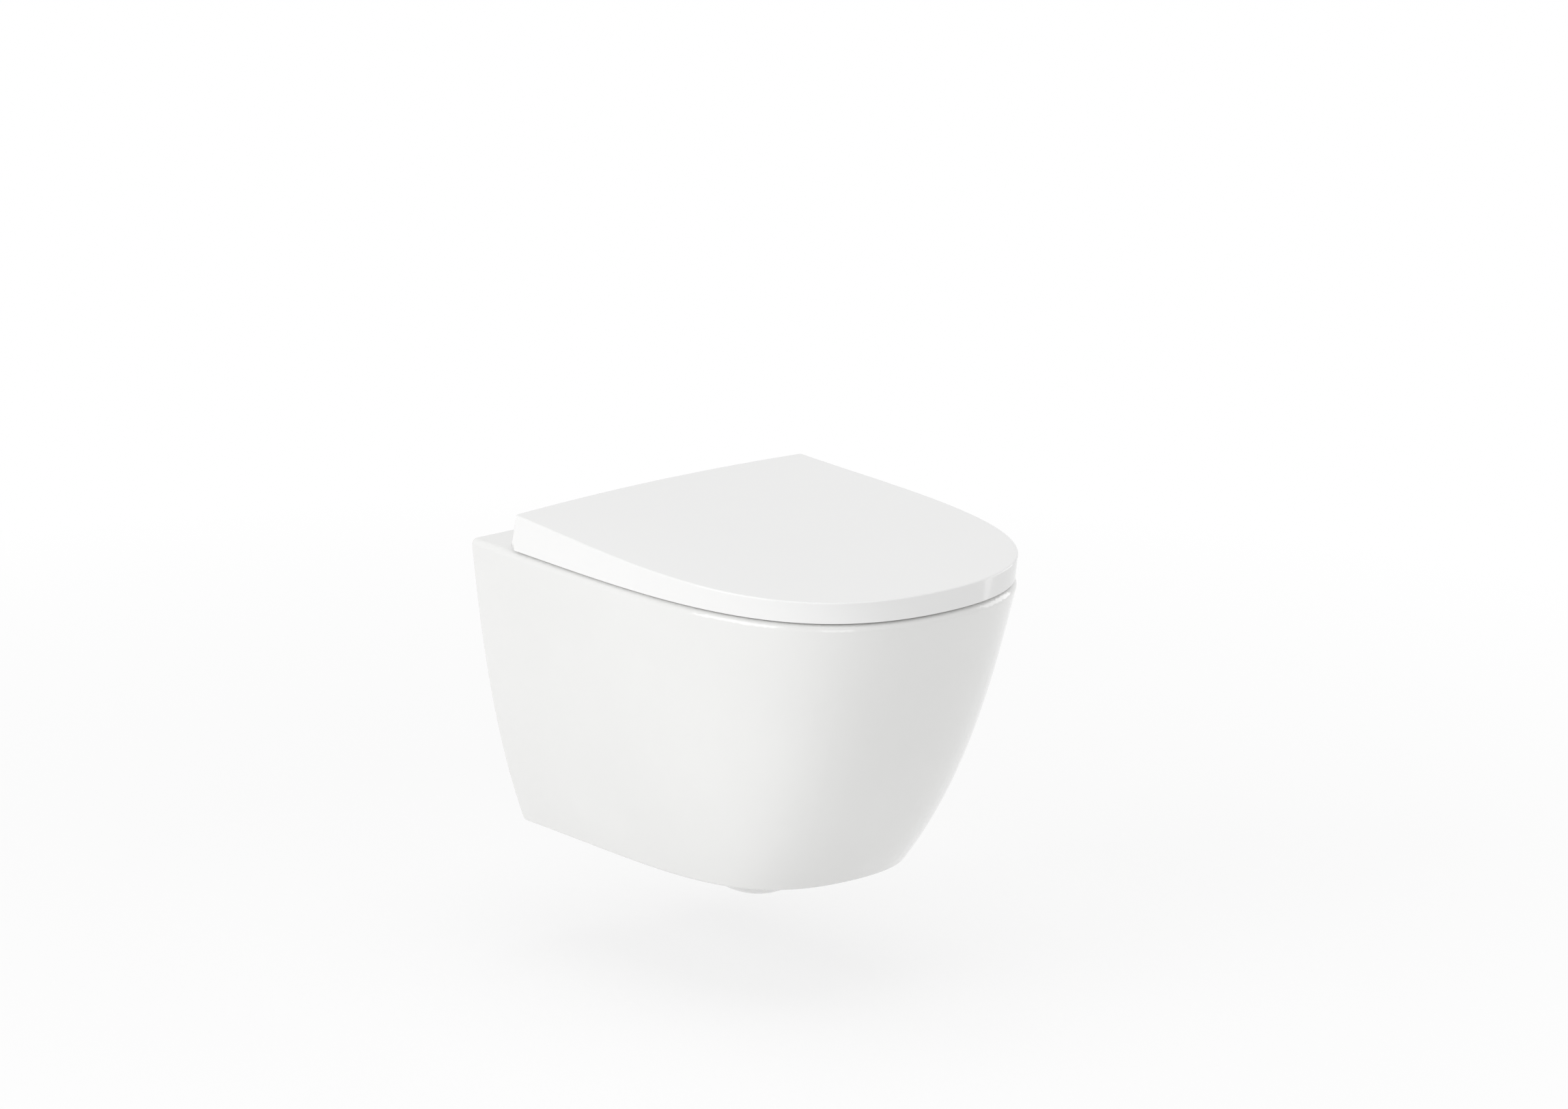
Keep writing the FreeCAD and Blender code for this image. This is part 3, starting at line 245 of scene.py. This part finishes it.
def dressNode(nodeName, look):
    piece = copyNode(nodeName, look["piece"])
    bpy.ops.object.mode_set(mode="EDIT")
    bpy.ops.mesh.select_all(action="SELECT")
    bpy.ops.mesh.remove_doubles(threshold=look["weld"])
    bpy.ops.object.mode_set(mode="OBJECT")
    bpy.ops.object.shade_smooth_by_angle(angle=math.radians(look["crease"]))
    edgeFlats(piece, look["flats"])
    pickOnly(piece)
    bpy.ops.object.modifier_add(type="WEIGHTED_NORMAL")
    weighted = piece.modifiers[-1]
    weighted.keep_sharp = True
    weighted.weight = smoothing["faceWeight"]
    bpy.ops.object.modifier_apply(modifier=weighted.name)
    takeOver(piece, nodeName, look["body"])
    return piece


for nodeName, look in surfaces.items():
    dressed = dressNode(nodeName, look)
    print("dressed", nodeName, len(dressed.data.polygons), "faces")


# the springs behind the release buttons: copies of their nodes, carried by the hinge carrier

springs = {
    "release_spring_left": {
        "piece": "leftSpring", "joint": "release_button_left_press", "press": 0.003,
    },
    "release_spring_right": {
        "piece": "rightSpring", "joint": "release_button_right_press", "press": 0.003,
    },
}


def dressSpring(nodeName, look):
    piece = copyNode(nodeName, look["piece"])
    takeOver(piece, nodeName, "hinge_carrier")
    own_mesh(piece)


for nodeName, look in springs.items():
    dressSpring(nodeName, look)
print("springs ready:", len(springs))


# floor, light and camera

studio = {
    "floorHeight": -0.32, "floorSize": 40, "floorColour": (0.93, 0.93, 0.93),
    "floorRoughness": 0.9, "floorGlow": 0.75,
    "shadowRoom": (0.5, 1.5),  # the floor fades to plain white between these distances
    "worldLevel": 0.5, "plainWhite": (1, 1, 1, 1), "lookAt": (0, -0.25, -0.02),
}
lamps = {
    "leftLamp": {"place": (-3.4, 0.2, 1.3), "size": 2.5, "power": 50},
    "topLamp": {"place": (0, -0.3, 3.2), "size": 3, "power": 34},
    "rightLamp": {"place": (3.2, -0.9, 0.5), "size": 2.2, "power": 21},
    "frontLamp": {"place": (-1.9, -2.95, 0.5), "size": 1.5, "power": 12},
}


def addWhiteForCamera(tree, shaded, surfaceInput, whiteKind):
    paths = tree.nodes.new("ShaderNodeLightPath")
    seen = tree.nodes.new("ShaderNodeMath")
    seen.operation = "MAXIMUM"
    mirrored = tree.nodes.new("ShaderNodeMath")
    mirrored.operation = "MAXIMUM"
    tree.links.new(paths.outputs["Is Camera Ray"], seen.inputs[0])
    tree.links.new(paths.outputs["Is Glossy Ray"], seen.inputs[1])
    tree.links.new(seen.outputs[0], mirrored.inputs[0])
    tree.links.new(paths.outputs["Is Transmission Ray"], mirrored.inputs[1])
    amount = tree.nodes.new("ShaderNodeMath")
    amount.operation = "MULTIPLY"
    amount.inputs[1].default_value = 1
    tree.links.new(mirrored.outputs[0], amount.inputs[0])
    white = tree.nodes.new(whiteKind)
    white.inputs["Color"].default_value = studio["plainWhite"]
    white.inputs["Strength"].default_value = 1
    blend = tree.nodes.new("ShaderNodeMixShader")
    tree.links.new(amount.outputs[0], blend.inputs["Fac"])
    tree.links.new(shaded, blend.inputs[1])
    tree.links.new(white.outputs[0], blend.inputs[2])
    tree.links.new(blend.outputs[0], surfaceInput)
    return amount


def fadeToWhite(tree, amount):
    coords = tree.nodes.new("ShaderNodeTexCoord")
    away = tree.nodes.new("ShaderNodeVectorMath")
    away.operation = "LENGTH"
    fade = tree.nodes.new("ShaderNodeMapRange")
    fade.inputs["From Min"].default_value = studio["shadowRoom"][0]
    fade.inputs["From Max"].default_value = studio["shadowRoom"][1]
    fade.inputs["To Min"].default_value = studio["floorGlow"]
    fade.inputs["To Max"].default_value = 1
    tree.links.new(coords.outputs["Object"], away.inputs[0])
    tree.links.new(away.outputs["Value"], fade.inputs["Value"])
    tree.links.new(fade.outputs["Result"], amount.inputs[1])


def makeWorld():
    world = bpy.data.worlds.new("studioWorld")
    bpy.context.scene.world = world
    world.use_nodes = True
    tree = world.node_tree
    base = tree.nodes["Background"]
    base.inputs["Color"].default_value = studio["plainWhite"]
    base.inputs["Strength"].default_value = studio["worldLevel"]
    surface = tree.nodes["World Output"].inputs["Surface"]
    addWhiteForCamera(tree, base.outputs[0], surface, "ShaderNodeBackground")


def makeFloor():
    deselectAll()
    bpy.ops.mesh.primitive_plane_add(
        size=studio["floorSize"], location=(0, 0, studio["floorHeight"])
    )
    floor = bpy.context.object
    floor.name = "studioFloor"
    floorLook = bpy.data.materials.new("floorLook")
    floorLook.use_nodes = True
    tree = floorLook.node_tree
    shader = tree.nodes["Principled BSDF"]
    shader.inputs["Base Color"].default_value = (*studio["floorColour"], 1)
    shader.inputs["Roughness"].default_value = studio["floorRoughness"]
    surface = tree.nodes["Material Output"].inputs["Surface"]
    amount = addWhiteForCamera(tree, shader.outputs[0], surface, "ShaderNodeEmission")
    fadeToWhite(tree, amount)
    floor.data.materials.append(floorLook)


def addLamp(lampName, look):
    bpy.ops.object.light_add(type="AREA", location=look["place"])
    lamp = bpy.context.object
    lamp.name = lampName
    lamp.data.size = look["size"]
    lamp.data.energy = look["power"]
    toward = Vector(studio["lookAt"]) - Vector(look["place"])
    lamp.rotation_euler = toward.to_track_quat("-Z", "Y").to_euler()


makeWorld()
makeFloor()
for lampName, look in lamps.items():
    addLamp(lampName, look)
print("studio ready")

viewpoint = {
    "azimuth": -39.337, "elevation": 15.689, "distance": 10.893, "farthest": 100,
    "focalPixels": 17230, "imageWidth": 2296, "sensor": 36,
    "aim": (0, -0.25, 0.08), "shiftRight": -0.00473, "shiftUp": 0.00586,
}


def makeCamera():
    turn = math.radians(viewpoint["azimuth"])
    rise = math.radians(viewpoint["elevation"])
    level = math.cos(rise)
    back = Vector((math.sin(turn) * level, -math.cos(turn) * level, math.sin(rise)))
    right = Vector((math.cos(turn), math.sin(turn), 0))
    up = back.cross(right)
    aim = Vector(viewpoint["aim"]) + right * viewpoint["shiftRight"] + up * viewpoint["shiftUp"]
    place = aim + back * viewpoint["distance"]
    deselectAll()
    bpy.ops.object.camera_add(location=place)
    camera = bpy.context.object
    camera.rotation_euler = (-back).to_track_quat("-Z", "Y").to_euler()
    camera.data.sensor_width = viewpoint["sensor"]
    camera.data.lens = viewpoint["focalPixels"] / viewpoint["imageWidth"] * viewpoint["sensor"]
    camera.data.clip_end = viewpoint["farthest"]
    bpy.context.scene.camera = camera


makeCamera()
bpy.context.scene.view_settings.view_transform = "Standard"
print("camera ready")
